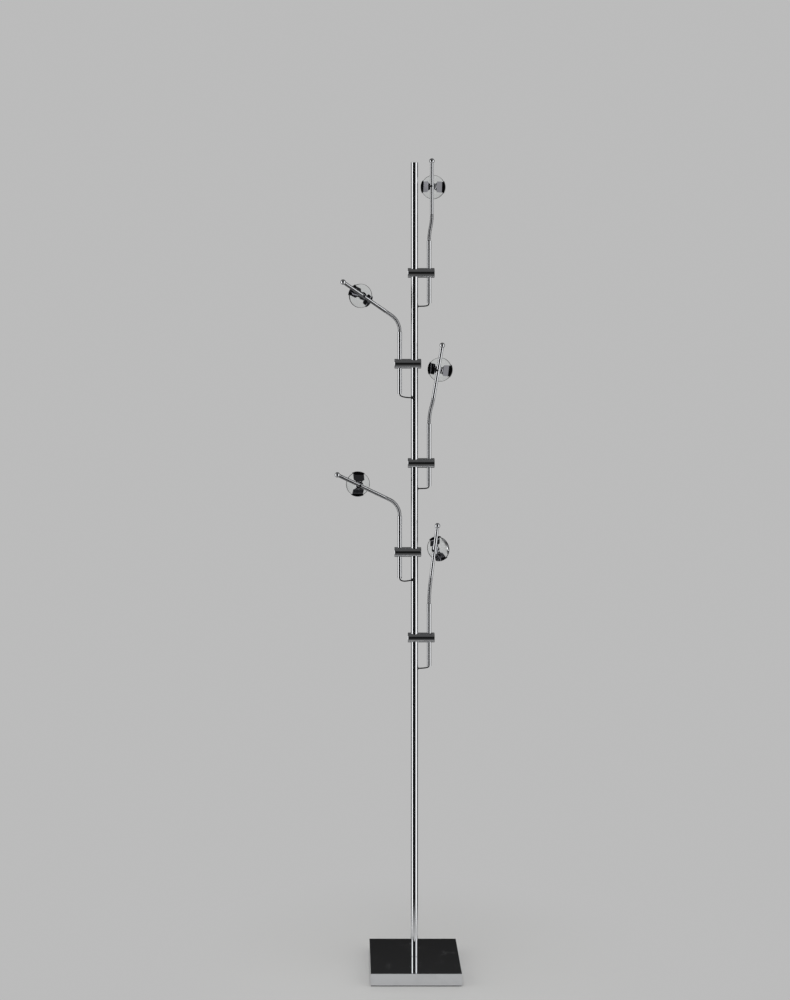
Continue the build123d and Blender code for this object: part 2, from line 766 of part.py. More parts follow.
def bow_tie_corners():
    """The strap's outline seen along the head's axis, both wings, before its ends are rounded."""
    wing, waist = strap_wing_width / 2, strap_waist_width / 2
    right = [
        (strap_waist, waist),
        (strap_wing_start, wing),
        (lip_outer_radius, wing),
    ]
    upper = right + [(x, -y) for x, y in reversed(right)]
    return upper + [(-x, -y) for x, y in upper]


def lip_profile(plane):
    """Section of a lip: a ring round the lens's rim with a small hook over its front."""
    hook_front = hook_rear + strap_hook_thickness
    with BuildSketch(plane) as profile:
        with BuildLine():
            Polyline(
                (lip_inner_radius, shoulder_height),
                (lip_outer_radius, shoulder_height),
                (lip_outer_radius, hook_front),
                (hook_inner_radius, hook_front),
                (hook_inner_radius, hook_rear),
                (lip_inner_radius, hook_rear),
                close=True,
            )
        make_face()
    return profile.sketch


# === Leads ==============================================================================
def corner_radii(points):
    """The radius at each corner of a route, from its shorter run and half its turn."""
    radii = []
    for before, corner, after in zip(points, points[1:], points[2:]):
        run_in, run_out = corner - before, after - corner
        half_turn = radians(run_in.get_angle(run_out)) / 2
        shorter = min(run_in.length, run_out.length)
        radii.append(lead_corner_share * shorter * cos(half_turn) / sin(half_turn))
    return radii


def make_lead(arm):
    """The black lead from inside the stem's lower end to inside the pole."""
    points = arm.lead_points
    radii = corner_radii(points)
    with BuildPart() as lead:
        with BuildLine() as route:
            FilletPolyline(*points, radius=radii)
        path = route.wire()
        with BuildSketch(Plane(path @ 0, z_dir=path % 0)):
            Circle(lead_diameter / 2)
        sweep(path=path)
    share = lead.part.volume / (pi * lead_diameter**2 / 4 * path.length)
    shown = ", ".join(f"{radius:.1f}" for radius in radii)
    print(f"lead_{arm.name}: length {path.length:.1f}, radii {shown}, volume share {share:.4f}")
    save(lead, f"lead_{arm.name}")


make_base_shell()
make_base_weight()
make_base_floor_plate()
make_base_pad()
make_driver()
make_base_fasteners()
make_pole_lower()
make_pole_upper()
make_pole_cap()
make_cable_grommets()
for lamp_arm in ARMS:
    make_clamp(lamp_arm)
    make_clamp_screws(lamp_arm)
    make_stem(lamp_arm)
    make_neck(lamp_arm)
    make_rod(lamp_arm)
    make_holder(lamp_arm)
    make_bulb(lamp_arm)
    make_lens(lamp_arm)
    make_strap(lamp_arm)
    make_lead(lamp_arm)
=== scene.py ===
# %% [markdown]
# # A chrome tree lamp, dressed on its fixed frame
#
# The lamp is a square base, one slim pole and five arms. Each arm is clamped to the pole and ends
# in a small bulb behind a round glass lens. This file takes the lamp's solid model as a fixed
# frame and gives it what a picture needs: bent cables and ribbed necks, glass that refracts,
# chrome that is not quite perfect, a floor, light and a camera.
#
# Everything is in metres. +Z is up along the pole, +Y is the way the heads shine, and +X is to
# the right of someone who stands behind them.

import json
from math import cos, pi, radians, sin, sqrt, tau

import bmesh
import bpy
from mathutils import Matrix, Vector


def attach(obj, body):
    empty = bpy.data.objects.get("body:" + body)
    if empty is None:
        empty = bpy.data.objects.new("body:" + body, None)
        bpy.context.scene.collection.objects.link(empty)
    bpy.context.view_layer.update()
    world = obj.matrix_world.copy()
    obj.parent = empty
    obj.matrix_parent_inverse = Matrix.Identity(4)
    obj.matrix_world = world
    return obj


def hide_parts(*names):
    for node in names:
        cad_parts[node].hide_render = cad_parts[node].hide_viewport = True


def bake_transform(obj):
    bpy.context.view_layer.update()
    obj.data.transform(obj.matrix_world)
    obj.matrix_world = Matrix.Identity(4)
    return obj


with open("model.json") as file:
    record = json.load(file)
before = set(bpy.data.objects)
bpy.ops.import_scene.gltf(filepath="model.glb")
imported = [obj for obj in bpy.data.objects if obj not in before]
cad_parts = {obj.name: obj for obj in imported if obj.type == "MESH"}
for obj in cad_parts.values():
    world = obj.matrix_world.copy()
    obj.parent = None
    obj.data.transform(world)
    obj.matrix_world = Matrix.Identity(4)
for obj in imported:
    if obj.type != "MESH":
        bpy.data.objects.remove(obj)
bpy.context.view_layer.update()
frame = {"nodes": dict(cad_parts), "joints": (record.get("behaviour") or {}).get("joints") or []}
nodes = frame["nodes"]
joints = {joint["name"]: joint for joint in frame["joints"]}
ARMS = "12345"
MM = 0.001
UP = Vector((0, 0, 1))

# %% [markdown]
# ## The camera
#
# A camera can be placed by hand until the picture looks right, or from the photograph's own
# perspective. Here the base's front and rear edges differ in width, which gives the distance, and
# the pole stands upright without leaning, which says that the camera looks straight ahead. The
# subject sits low and to the right of the point that the camera looks at, so the lens is shifted
# rather than tilted: a tilt would make the upright pole lean.

# %% Camera
IMAGE_WIDTH, IMAGE_HEIGHT = 790, 1000
LEVEL_X, LEVEL_Y = 346.5, 329  # the pixel that the camera looks straight at
FOCAL_PIXELS = 1587
SENSOR_MM = 36
CAMERA_PLACE = (-0.1526, -3.566, 1.436)

camera_data = bpy.data.cameras.new("camera")
camera = bpy.data.objects.new("camera", camera_data)
bpy.context.scene.collection.objects.link(camera)
bpy.context.scene.camera = camera
camera.location = CAMERA_PLACE
camera.rotation_euler = (pi / 2, 0, 0)
camera_data.sensor_width = SENSOR_MM
camera_data.lens = FOCAL_PIXELS / IMAGE_HEIGHT * SENSOR_MM
camera_data.shift_x = (IMAGE_WIDTH / 2 - LEVEL_X) / IMAGE_HEIGHT
camera_data.shift_y = -(IMAGE_HEIGHT / 2 - LEVEL_Y) / IMAGE_HEIGHT
print("lens", round(camera_data.lens, 2), "mm, shift", camera_data.shift_x, camera_data.shift_y)

# %% [markdown]
# ## Two small tools for node trees
#
# Materials and Geometry Nodes are both trees of nodes. Written out in full, a sum of two noises
# is five lines. The class below wraps a socket and gives it the usual operators, so that the
# same sum reads `broad * 0.7 + fine * 0.3`. Python works out plain numbers by itself, so only a
# value that changes over a surface becomes a node.


# %% Sockets with operators
class Flow:
    """A node's output, as a value in Python sums."""

    def __init__(self, tree, socket):
        self.tree, self.socket = tree, socket

    def math(self, operation, *others):
        """Put this value, and any others after it, through a Math node."""
        inputs = dict(enumerate((self, *others)))
        return grow(self.tree, "ShaderNodeMath", {"operation": operation}, inputs)

    def __add__(self, other):
        return self.math("ADD", other)

    def __sub__(self, other):
        return self.math("SUBTRACT", other)

    def __rsub__(self, other):
        return grow(self.tree, "ShaderNodeMath", {"operation": "SUBTRACT"}, {0: other, 1: self})

    def __mul__(self, other):
        return self.math("MULTIPLY", other)

    def __truediv__(self, other):
        return self.math("DIVIDE", other)

    def __pow__(self, other):
        return self.math("POWER", other)

    def __gt__(self, other):
        return self.math("GREATER_THAN", other)

    def __lt__(self, other):
        return self.math("LESS_THAN", other)

    __radd__ = __add__
    __rmul__ = __mul__


def grow(tree, kind, settings=None, inputs=None, output=0):
    """Add a node: its settings first, then the values or links of its sockets."""
    node = tree.nodes.new(kind)
    for name, value in (settings or {}).items():
        setattr(node, name, value)
    for name, value in (inputs or {}).items():
        if isinstance(value, Flow):
            tree.links.new(value.socket, node.inputs[name])
        else:
            node.inputs[name].default_value = value
    return Flow(tree, node.outputs[output])


# %% [markdown]
# ## Finishes
#
# A flat colour never looks like a real finish, because real surfaces vary: chrome carries a haze
# where it was last wiped, rubber has a bloom, and steel keeps the marks of the tool that cut it.
# Each finish below is worked out from the Object coordinates, which are real metres, so a
# pattern has the same scale on every piece and needs no unwrapping.
#
# What varies feeds colour, roughness or the bump. What is the same all over is set on the
# shader's own socket.


# %% Shared patterns
def finish(name, **constants):
    """A material with its shader's constants set, ready for patterns."""
    material = bpy.data.materials.new(name)
    material.use_nodes = True
    shader = material.node_tree.nodes["Principled BSDF"]
    for socket, value in constants.items():
        shader.inputs[socket.replace("_", " ")].default_value = value
    return material, material.node_tree, shader


def link(tree, flow, shader, socket):
    tree.links.new(flow.socket, shader.inputs[socket])


def place(tree, stretch=(1, 1, 1)):
    """Object coordinates in metres, stretched along the axes."""
    coordinates = grow(tree, "ShaderNodeTexCoord", output="Object")
    return grow(tree, "ShaderNodeMapping", inputs={"Vector": coordinates, "Scale": stretch})


def noise(tree, where, scale, detail=3.0, distortion=0.0):
    inputs = {"Vector": where, "Scale": scale, "Detail": detail, "Distortion": distortion}
    return grow(tree, "ShaderNodeTexNoise", inputs=inputs)


def between(tree, low, high, value):
    """0 below low, 1 above high and a smooth step between."""
    settings = {"interpolation_type": "SMOOTHSTEP"}
    inputs = {"Value": value, "From Min": low, "From Max": high}
    return grow(tree, "ShaderNodeMapRange", settings, inputs)


def tint(tree, share, first, second):
    """A colour between two, by a share from 0 to 1."""
    inputs = {0: share, 6: (*first, 1), 7: (*second, 1)}
    return grow(tree, "ShaderNodeMix", {"data_type": "RGBA"}, inputs, 2)


def bump(tree, height, distance, strength=1.0):
    inputs = {"Height": height, "Distance": distance, "Strength": strength}
    return grow(tree, "ShaderNodeBump", inputs=inputs)


def names(*finishes):
    return ", ".join(material.name for material in finishes)


# %% [markdown]
# ### Chrome
#
# Chrome is a mirror with very little colour. What makes it read as a real thing is what is wrong
# with it: faint wiping marks that run along the tubes, a few cloudy smudges where hands adjust
# it, and a plated surface that is never perfectly even. The marks are noise stretched far along
# Z, the smudges a noise that is cut off so that most of the surface stays clean.
#
# The tubes, clamps and base are bright. The ribbed necks and the sprung straps get darker copies of
# the chrome, a painted shade: their many curves catch a light from almost any side, and the same
# chrome would look pale.


# %% Chrome
def make_chrome(name, polish=0.035, smudge=0.12, tone=(0.80, 0.81, 0.83)):
    material, tree, shader = finish(name, Metallic=1.0)
    where = place(tree)
    cloud = between(tree, 0.52, 0.78, noise(tree, where, 26.0, detail=4.0, distortion=0.6))
    breath = noise(tree, where, 7.0, detail=2.0)
    wiping = noise(tree, place(tree, (900, 900, 24)), 1.0, detail=2.0)
    specks = between(tree, 0.70, 0.76, noise(tree, where, 420.0, detail=1.0))
    worn = polish + cloud * smudge + between(tree, 0.55, 0.85, wiping) * 0.03 + specks * 0.04
    link(tree, worn, shader, "Roughness")
    dull = tuple(0.86 * channel for channel in tone)
    link(tree, tint(tree, cloud * 0.5 + breath * 0.3, tone, dull), shader, "Base Color")
    ripple = noise(tree, where, 22.0, detail=1.0)
    link(tree, bump(tree, ripple, 0.00002, strength=0.3), shader, "Normal")
    return material


chrome = make_chrome("bright_chrome")
chrome_handled = make_chrome("handled_chrome", polish=0.04, smudge=0.14, tone=(0.78, 0.79, 0.81))
# a darker copy of the chrome for the straps: painted shade, not a finish of their own
chrome_strap_shaded = make_chrome("strap_chrome_shaded", polish=0.05, smudge=0.10, tone=(0.20, 0.20, 0.215))
# a darker copy of the chrome for the ribbed necks: painted shade, so that their ribs do not turn
# pale
chrome_ribbed_shaded = make_chrome("ribbed_chrome_shaded", polish=0.06, smudge=0.10, tone=(0.50, 0.505, 0.52))
print("made", names(chrome, chrome_handled, chrome_strap_shaded, chrome_ribbed_shaded))

# %% [markdown]
# ### Steel, rubber and plastic
#
# The pieces that nobody polishes are made plainly: a rolled steel weight with a directional
# grain, zinc-plated fasteners, black set screws, black rubber with a grey bloom, and moulded
# plastic with a fine orange peel.


# %% Steel
def make_steel(name, tone, rough, grain=(14, 900, 900)):
    """A steel whose grain is a count of lines a metre, along each axis."""
    material, tree, shader = finish(name, Metallic=1.0)
    lines = noise(tree, place(tree, grain), 1.0, detail=4.0)
    patches = noise(tree, place(tree), 35.0)
    dark = tuple(0.7 * channel for channel in tone)
    link(tree, tint(tree, lines * 0.5 + patches * 0.4, tone, dark), shader, "Base Color")
    link(tree, rough + lines * 0.12 + patches * 0.08, shader, "Roughness")
    link(tree, bump(tree, lines, 0.00002, strength=0.5), shader, "Normal")
    return material


rolled_steel = make_steel("rolled_steel", (0.50, 0.50, 0.51), 0.28)
zinc_plate = make_steel("zinc_plate", (0.62, 0.64, 0.67), 0.24, (200, 200, 200))
black_oxide = make_steel("black_oxide", (0.10, 0.10, 0.11), 0.32, (600, 600, 600))
print("made", names(rolled_steel, zinc_plate, black_oxide))


# %% Rubber and plastic
def make_polymer(name, tone, rough, grain, depth, index=1.5):
    """A matt polymer: a pale bloom in patches and a fine moulded grain, so deep in metres."""
    material, tree, shader = finish(name, IOR=index)
    where = place(tree)
    bloom = between(tree, 0.45, 0.8, noise(tree, where, 90.0, detail=4.0))
    skin = noise(tree, where, grain, detail=2.0)
    pale = tuple(min(1, channel * 2.2 + 0.01) for channel in tone)
    link(tree, tint(tree, bloom * 0.7, tone, pale), shader, "Base Color")
    link(tree, rough + bloom * 0.15 - skin * 0.05, shader, "Roughness")
    link(tree, bump(tree, skin, depth, strength=0.6), shader, "Normal")
    return material


grommet_rubber = make_polymer("grommet_rubber", (0.012, 0.012, 0.013), 0.55, 1400.0, 0.00003)
foot_rubber = make_polymer("foot_rubber", (0.020, 0.020, 0.021), 0.75, 900.0, 0.00012)
cable_sheath = make_polymer("cable_sheath", (0.004, 0.004, 0.005), 0.55, 2200.0, 0.00001, 1.3)
case_plastic = make_polymer("case_plastic", (0.018, 0.018, 0.020), 0.45, 1800.0, 0.00003)
print("made", names(grommet_rubber, foot_rubber, cable_sheath, case_plastic))

# %% [markdown]
# ### Glass
#
# Glass needs no colour of its own: transmission of 1 and the right index of refraction bend what
# is behind it. The lens gets a trace of dust that only its roughness shows, and the bulb's quartz
# a faint smoky cast where it has been hot. The lens's rim gets a matt black like the rubber's and
# not a glass: a painted shade for the dark ring that the edge of the glass shows.


# %% Glass
def make_glass(name, tone, index, dust):
    material, tree, shader = finish(name, Transmission_Weight=1.0, IOR=index)
    where = place(tree)
    film = between(tree, 0.5, 0.85, noise(tree, where, 45.0, detail=4.0))
    specks = between(tree, 0.72, 0.78, noise(tree, where, 700.0, detail=0.0))
    link(tree, film * dust + specks * (dust * 2), shader, "Roughness")
    smoky = tuple(0.97 * channel for channel in tone)
    link(tree, tint(tree, film, tone, smoky), shader, "Base Color")
    return material


lens_glass = make_glass("lens_glass", (0.975, 0.99, 0.985), index=1.52, dust=0.02)
# the rim's matt black is a painted shade: it stands in for the dark ring that the glass's edge
# shows
rim_shade = make_polymer("rim_shade", (0.02, 0.02, 0.021), 0.8, 3000.0, 0.00002)
quartz = make_glass("quartz", (0.98, 0.97, 0.95), index=1.46, dust=0.01)
print("made", names(lens_glass, rim_shade, quartz))

# %% [markdown]
# ### The bulb's small parts
#
# Inside the bulb a tungsten coil stands on two molybdenum wires, and the bulb's foot is pressed
# ceramic. They are only a few millimetres across, so they borrow the steel's and the plastic's
# patterns at a finer scale.

# %% Tungsten, wire and ceramic
tungsten = make_steel("tungsten", (0.32, 0.31, 0.30), 0.42, (3000, 3000, 3000))
support_wire = make_steel("support_wire", (0.60, 0.59, 0.57), 0.22, (2500, 2500, 600))
ceramic = make_polymer("ceramic", (0.72, 0.71, 0.67), 0.5, 1500.0, 0.00002)
print("made", names(tungsten, support_wire, ceramic))


# %% [markdown]
# ## Dressing the solids
#
# A solid whose shape is right keeps its mesh and only gets a finish. The material goes into the
# object's own slot, not the mesh's, so the frame's mesh stays as it was packed.


# %% Give each solid its finish
def dress(name, material):
    solid = nodes[name]
    for slot in solid.material_slots:
        slot.link = "OBJECT"
        slot.material = material


dressed = {
    "base_shell": chrome,
    "base_weight": rolled_steel,
    "base_floor_plate": rolled_steel,
    "base_pad": foot_rubber,
    "driver": case_plastic,
    "base_fasteners": zinc_plate,
    "pole_lower": chrome,
    "pole_upper": chrome,
    "pole_cap": chrome,
    "cable_grommets": grommet_rubber,
}
for arm in ARMS:
    dressed |= {
        f"clamp_{arm}": chrome_handled,
        f"clamp_screws_{arm}": black_oxide,
        f"stem_{arm}": chrome,
        f"neck_{arm}": chrome_ribbed_shaded,
        f"rod_{arm}": chrome_handled,
        f"holder_{arm}": chrome,
        f"bulb_{arm}": quartz,
        f"lens_{arm}": lens_glass,
        f"strap_{arm}": chrome_strap_shaded,
        f"lead_{arm}": cable_sheath,
    }
for name, material in dressed.items():
    dress(name, material)
print("dressed", len(dressed), "of", len(nodes), "solids")


# %% [markdown]
# ## The leads
#
# A thin black cable leaves the lower end of each stem and goes through a rubber grommet into the
# pole. It could be drawn as a chain of straight runs and arcs, as a fabricator would bend a
# pipe, but a cable has no straight runs: it is one smooth curve. So its route's few points are
# the control points of a NURBS curve, which rounds every corner by itself.
#
# The curve is made a mesh.

# %% Routes of the leads, from inside the stem to inside the pole
LEAD_DIAMETER = 2.8 * MM
LEAD_ROUTES = {
    "1": [(0.033, 0, 1.499), (0.033, 0, 1.4914), (0.0284, 0, 1.4877), (0.014, 0, 1.487),
          (0.0052, 0, 1.487)],
    "2": [(-0.033, 0, 1.295), (-0.033, 0, 1.2884), (-0.0304, -0.0026, 1.2854),
          (-0.0235, -0.008, 1.2832), (-0.01081, -0.0118, 1.282), (-0.00351, -0.00383, 1.282)],
    "3": [(0.033, 0, 1.088), (0.033, 0, 1.0812), (0.0286, 0, 1.078), (0.014, 0, 1.0774),
          (0.0052, 0, 1.0774)],
    "4": [(-0.033, 0, 0.881), (-0.033, 0, 0.8744), (-0.0302, -0.0022, 0.8712),
          (-0.024, -0.0076, 0.8704), (-0.016, -0.012, 0.8718), (-0.0075, -0.01299, 0.8736),
          (-0.0026, -0.0045, 0.8736)],
    "5": [(0.033, 0, 0.684), (0.033, 0, 0.6776), (0.0282, 0, 0.675), (0.015, 0, 0.6736),
          (0.0052, 0, 0.6736)],
}
print("routes of", len(LEAD_ROUTES), "leads,", LEAD_DIAMETER * 1000, "mm thick")


# %% Curves and meshes
def curve_on(points, kind):
    """An open curve of a kind on its points."""
    data = bpy.data.curves.new("line", "CURVE")
    data.dimensions = "3D"
    spline = data.splines.new(kind)
    spline.points.add(len(points) - 1)
    for point, spot in zip(spline.points, points):
        point.co = (*spot, 1)
    return bpy.data.objects.new("line", data)


def smooth_curve(points, thickness=0.0):
    """A smooth NURBS curve between its end points, round if it has a thickness."""
    curve = curve_on(points, "NURBS")
    curve.data.bevel_depth = thickness / 2
    curve.data.bevel_resolution = 6
    curve.data.use_fill_caps = True
    spline = curve.data.splines[0]
    spline.order_u = 3
    spline.use_endpoint_u = True
    spline.resolution_u = 12
    return curve


def plain_mesh(shaped, name, material=None):
    """The evaluated shape of an object as a plain mesh object at the origin."""
    bpy.context.scene.collection.objects.link(shaped)
    evaluated = shaped.evaluated_get(bpy.context.evaluated_depsgraph_get())
    mesh = bpy.data.meshes.new_from_object(evaluated)
    bpy.data.objects.remove(shaped)
    return mesh_object(name, mesh, material)


def mesh_object(name, mesh, material=None):
    """A smooth mesh as an object in the scene, with its finish if it has one."""
    mesh.name = name
    mesh.shade_smooth()
    if material:
        mesh.materials.clear()
        mesh.materials.append(material)
    piece = bpy.data.objects.new(name, mesh)
    bpy.context.scene.collection.objects.link(piece)
    return piece


# %% Leads
def make_lead(arm):
    route = LEAD_ROUTES[arm]
    line = plain_mesh(smooth_curve(route), "line")
    bpy.data.objects.remove(line)
    lead = plain_mesh(smooth_curve(route, LEAD_DIAMETER), f"lead_cable_{arm}", cable_sheath)
    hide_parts(f"lead_{arm}")
    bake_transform(lead)


for arm in ARMS:
    make_lead(arm)

# %% [markdown]
# ## The necks
#
# The bendable neck is a corrugated tube: rings of the same shape, side by side along a bent line.
# One could model a ring and array it along a curve, but rings that only touch leave seams. Here
# a Geometry Nodes tree makes one closed skin instead. It starts from a flat grid whose one side
# goes round the tube and whose other side runs up the outside, over the end, down the bore and
# back to the start. Each point is then moved to its place round the neck's centreline, and the
# ribs are a wave in the radius.
#
# Each neck is made as two half necks, which meet at its middle.

# %% The neck's centreline
NECK_LENGTH = 60 * MM
RIB_PITCH = 2.5 * MM
CREST_RADIUS, VALLEY_RADIUS, NECK_BORE_RADIUS = 4.0 * MM, 3.55 * MM, 2.5 * MM
# where each neck starts, and the direction in which it bends, in degrees from +X
NECK_BASES = {
    "1": ((0.033, 0, 1.634), 0),
    "2": ((-0.033, 0, 1.430), 199.5),
    "3": ((0.033, 0, 1.223), -31.4),
    "4": ((-0.033, 0, 1.016), 193.3),
    "5": ((0.033, 0, 0.819), -50),
}
# each stretch of a neck: its share of the length and the turn over it, in degrees
NECK_TURNS = {
    "1": [(0.5, 12), (0.5, -12)],
    "2": [(0.73, 57.4), (0.27, 0)],
    "3": [(0.33, 8.2), (0.34, 10.1), (0.33, -7.5)],
    "4": [(0.77, 64.2), (0.23, 0)],
    "5": [(0.83, 10.2), (0.17, 0)],
}


def neck_point(arm, distance):
    """The place on a neck's centreline at a distance from its foot, in metres."""
    foot, azimuth = NECK_BASES[arm]
    across = rise = angle = 0.0
    for share, turn in NECK_TURNS[arm]:
        length = share * NECK_LENGTH
        step = min(distance, length)
        bend = radians(turn) * step / length
        if turn:
            radius = length / radians(turn)
            across += radius * (cos(angle) - cos(angle + bend))
            rise += radius * (sin(angle + bend) - sin(angle))
        else:
            across += step * sin(angle)
            rise += step * cos(angle)
        angle += bend
        distance -= step
    outward = Vector((cos(radians(azimuth)), sin(radians(azimuth)), 0))
    return Vector(foot) + outward * across + UP * rise


print("neck 1 ends at", [round(value, 4) for value in neck_point("1", NECK_LENGTH)])


# %% Geometry Nodes: a ribbed tube along a curve
def new_tree(name, sizes):
    """An empty geometry tree with a shape in and out, and named sizes with their defaults."""
    tree = bpy.data.node_groups.new(name, "GeometryNodeTree")
    tree.interface.new_socket("Shape", in_out="INPUT", socket_type="NodeSocketGeometry")
    tree.interface.new_socket("Shape", in_out="OUTPUT", socket_type="NodeSocketGeometry")
    for label, value in sizes.items():
        kind = "NodeSocketInt" if isinstance(value, int) else "NodeSocketFloat"
        tree.interface.new_socket(label, in_out="INPUT", socket_type=kind).default_value = value
    tree.interface.new_socket("Finish", in_out="INPUT", socket_type="NodeSocketMaterial")
    entry = tree.nodes.new("NodeGroupInput")
    inputs = {socket.name: Flow(tree, socket) for socket in entry.outputs if socket.name}
    return tree, inputs


def close_tree(tree, shape, inputs):
    """End a tree in real geometry, not instances, with a finish."""
    real = grow(tree, "GeometryNodeRealizeInstances", inputs={"Geometry": shape})
    smooth = grow(tree, "GeometryNodeSetShadeSmooth", inputs={"Geometry": real})
    coat = {"Geometry": smooth, "Material": inputs["Finish"]}
    coated = grow(tree, "GeometryNodeSetMaterial", inputs=coat)
    exit_node = tree.nodes.new("NodeGroupOutput")
    tree.links.new(coated.socket, exit_node.inputs[0])
    return tree


def vectors(tree, operation, inputs, output="Vector"):
    return grow(tree, "ShaderNodeVectorMath", {"operation": operation}, inputs, output)


def ribbed_tube_tree():
    sizes = {"Crest radius": 0.004, "Valley radius": 0.0035, "Bore radius": 0.0025, "Ribs": 12,
             "Rows a rib": 12, "Bore rows": 13, "Columns": 49}
    tree, inputs = new_tree("ribbed_tube", sizes)
    outer_rows = inputs["Ribs"] * inputs["Rows a rib"] + 1
    rows = outer_rows + inputs["Bore rows"] + 1
    counts = {"Vertices X": inputs["Columns"], "Vertices Y": rows}
    grid = grow(tree, "GeometryNodeMeshGrid", inputs=counts)
    number = grow(tree, "GeometryNodeInputIndex")
    # the grid numbers its points along Y first, and the small number keeps FLOOR off its edge
    column = (number / rows + 0.0001).math("FLOOR")
    row = number - column * rows
    turn = column / (inputs["Columns"] - 1) * tau
    outside = row < outer_rows - 0.5
    last = row > rows - 1.5
    up = row / (outer_rows - 1)
    down = 1 - (row - outer_rows) / (inputs["Bore rows"] - 1)
    share = (outside * up + (1 - outside) * down) * (1 - last)
    wave = (share * inputs["Ribs"] * tau).math("COSINE")
    # a power under 1 makes the crests full and the valleys narrow
    lift = (0.5 - wave * 0.5) ** 0.45
    crest = inputs["Valley radius"] + (inputs["Crest radius"] - inputs["Valley radius"]) * lift
    skin = outside + last
    radius = skin * crest + (1 - skin) * inputs["Bore radius"]
    sampler = {"mode": "FACTOR", "use_all_curves": True}
    along = {"Curves": inputs["Shape"], "Factor": share}
    spot, tangent, normal = (grow(tree, "GeometryNodeSampleCurve", sampler, along, output)
                             for output in ("Position", "Tangent", "Normal"))
    side = vectors(tree, "CROSS_PRODUCT", {0: tangent, 1: normal})
    offset_a = vectors(tree, "SCALE", {"Vector": normal, "Scale": radius * turn.math("COSINE")})
    offset_b = vectors(tree, "SCALE", {"Vector": side, "Scale": radius * turn.math("SINE")})
    reach = vectors(tree, "ADD", {0: offset_a, 1: offset_b})
    target = vectors(tree, "ADD", {0: spot, 1: reach})
    moved = grow(tree, "GeometryNodeSetPosition", inputs={"Geometry": grid, "Position": target})
    welded = grow(tree, "GeometryNodeMergeByDistance", inputs={"Geometry": moved, "Distance": 1e-6})
    return close_tree(tree, welded, inputs)


def apply_tree(shaped, tree, values, name, material):
    """Run a geometry tree on an object and keep its result as a plain mesh."""
    modifier = shaped.modifiers.new("shape", "NODES")
    modifier.node_group = tree
    values = {**values, "Finish": material}
    for item in tree.interface.items_tree:
        if item.in_out == "INPUT" and item.name in values:
            modifier[item.identifier] = values[item.name]
    return plain_mesh(shaped, name, material)


# %% Outward faces
def face_outwards(piece):
    """Weld a mesh, turn all its faces outwards and count the edges that stay open."""
    shape = bmesh.new()
    shape.from_mesh(piece.data)
    bmesh.ops.remove_doubles(shape, verts=shape.verts, dist=1e-7)
    bmesh.ops.recalc_face_normals(shape, faces=shape.faces)
    open_edges = sum(1 for edge in shape.edges if not edge.is_manifold)
    if shape.calc_volume(signed=True) < 0:
        bmesh.ops.reverse_faces(shape, faces=shape.faces)
    shape.to_mesh(piece.data)
    shape.free()
    return open_edges


# %% Half necks
ribbed_tube = ribbed_tube_tree()
HALF = NECK_LENGTH / 2
RIBS_A_HALF = round(HALF / RIB_PITCH)
LINE_STEPS = 60


def make_half_neck(arm, half):
    start = half * HALF
    line = [neck_point(arm, start + HALF * step / LINE_STEPS) for step in range(LINE_STEPS + 1)]
    values = {"Crest radius": CREST_RADIUS, "Valley radius": VALLEY_RADIUS,
              "Bore radius": NECK_BORE_RADIUS, "Ribs": RIBS_A_HALF}
    name = f"neck_{'lower' if half == 0 else 'upper'}_{arm}"
    piece = apply_tree(curve_on(line, "POLY"), ribbed_tube, values, name, chrome_ribbed_shaded)
    open_edges = face_outwards(piece)
    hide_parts(f"neck_{arm}")
    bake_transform(piece)
    print(name, len(piece.data.polygons), "faces,", open_edges, "open edges")


for arm in ARMS:
    make_half_neck(arm, 0)
    make_half_neck(arm, 1)

# %% [markdown]
# ## Lens and bulb
#
# Both are bodies of revolution, as a lathe or a glass-blower makes them, so they are spun from a
# half section. The lens is flat towards the bulb and domed away from it, with a small chamfer on
# each edge. Its rim and the chamfers get a matt black: painted shade, seen as a thin dark ring.
# The bulb is a quartz capsule with a wall, so that it shows as a hollow shell, over a ceramic
# foot.


# %% Spun shapes
def piece_from(shape, name, material):
    """A bmesh as a mesh object. The bmesh is freed."""
    mesh = bpy.data.meshes.new(name)
    shape.to_mesh(mesh)
    shape.free()
    return mesh_object(name, mesh, material)


def head_frame(arm):
    """The head's origin and axis, and two directions across it."""
    joint = joints[f"head_turn_{arm}"]
    axis = Vector(joint["axis"]).normalized()
    across = axis.cross(UP).normalized()
    return Vector(joint["pos_m"]), axis, across, axis.cross(across)


def spun(name, arm, section, material, columns):
    """Spin a half section, (radius, distance along the head's axis) in mm, into a closed mesh."""
    origin, axis, across, other = head_frame(arm)
    shape = bmesh.new()
    rings = []
    for radius, height in section:
        middle = origin + axis * (height * MM)
        if radius == 0:
            rings.append([shape.verts.new(middle)])
            continue
        turns = (tau * column / columns for column in range(columns))
        ring = [middle + (across * cos(turn) + other * sin(turn)) * (radius * MM) for turn in turns]
        rings.append([shape.verts.new(spot) for spot in ring])
    for low, high in zip(rings, rings[1:]):
        for column in range(columns):
            after = (column + 1) % columns
            corners = [low[column % len(low)], low[after % len(low)],
                       high[after % len(high)], high[column % len(high)]]
            # where a ring is one point, two corners are the same and the face is a triangle
            shape.faces.new(list(dict.fromkeys(corners)))
    piece = piece_from(shape, name, material)
    face_outwards(piece)
    return piece


def rounded(start, end, centre, steps):
    """Points on an arc from start to end round a centre, in a half section."""
    first = Vector(start) - Vector(centre)
    last = Vector(end) - Vector(centre)
    sweep = first.angle_signed(last)
    turns = (Matrix.Rotation(-sweep * step / steps, 2) for step in range(steps + 1))
    return [tuple(Vector(centre) + turn @ first) for turn in turns]


def sharp_by_angle(piece, degrees):
    piece.data.set_sharp_from_angle(angle=radians(degrees))


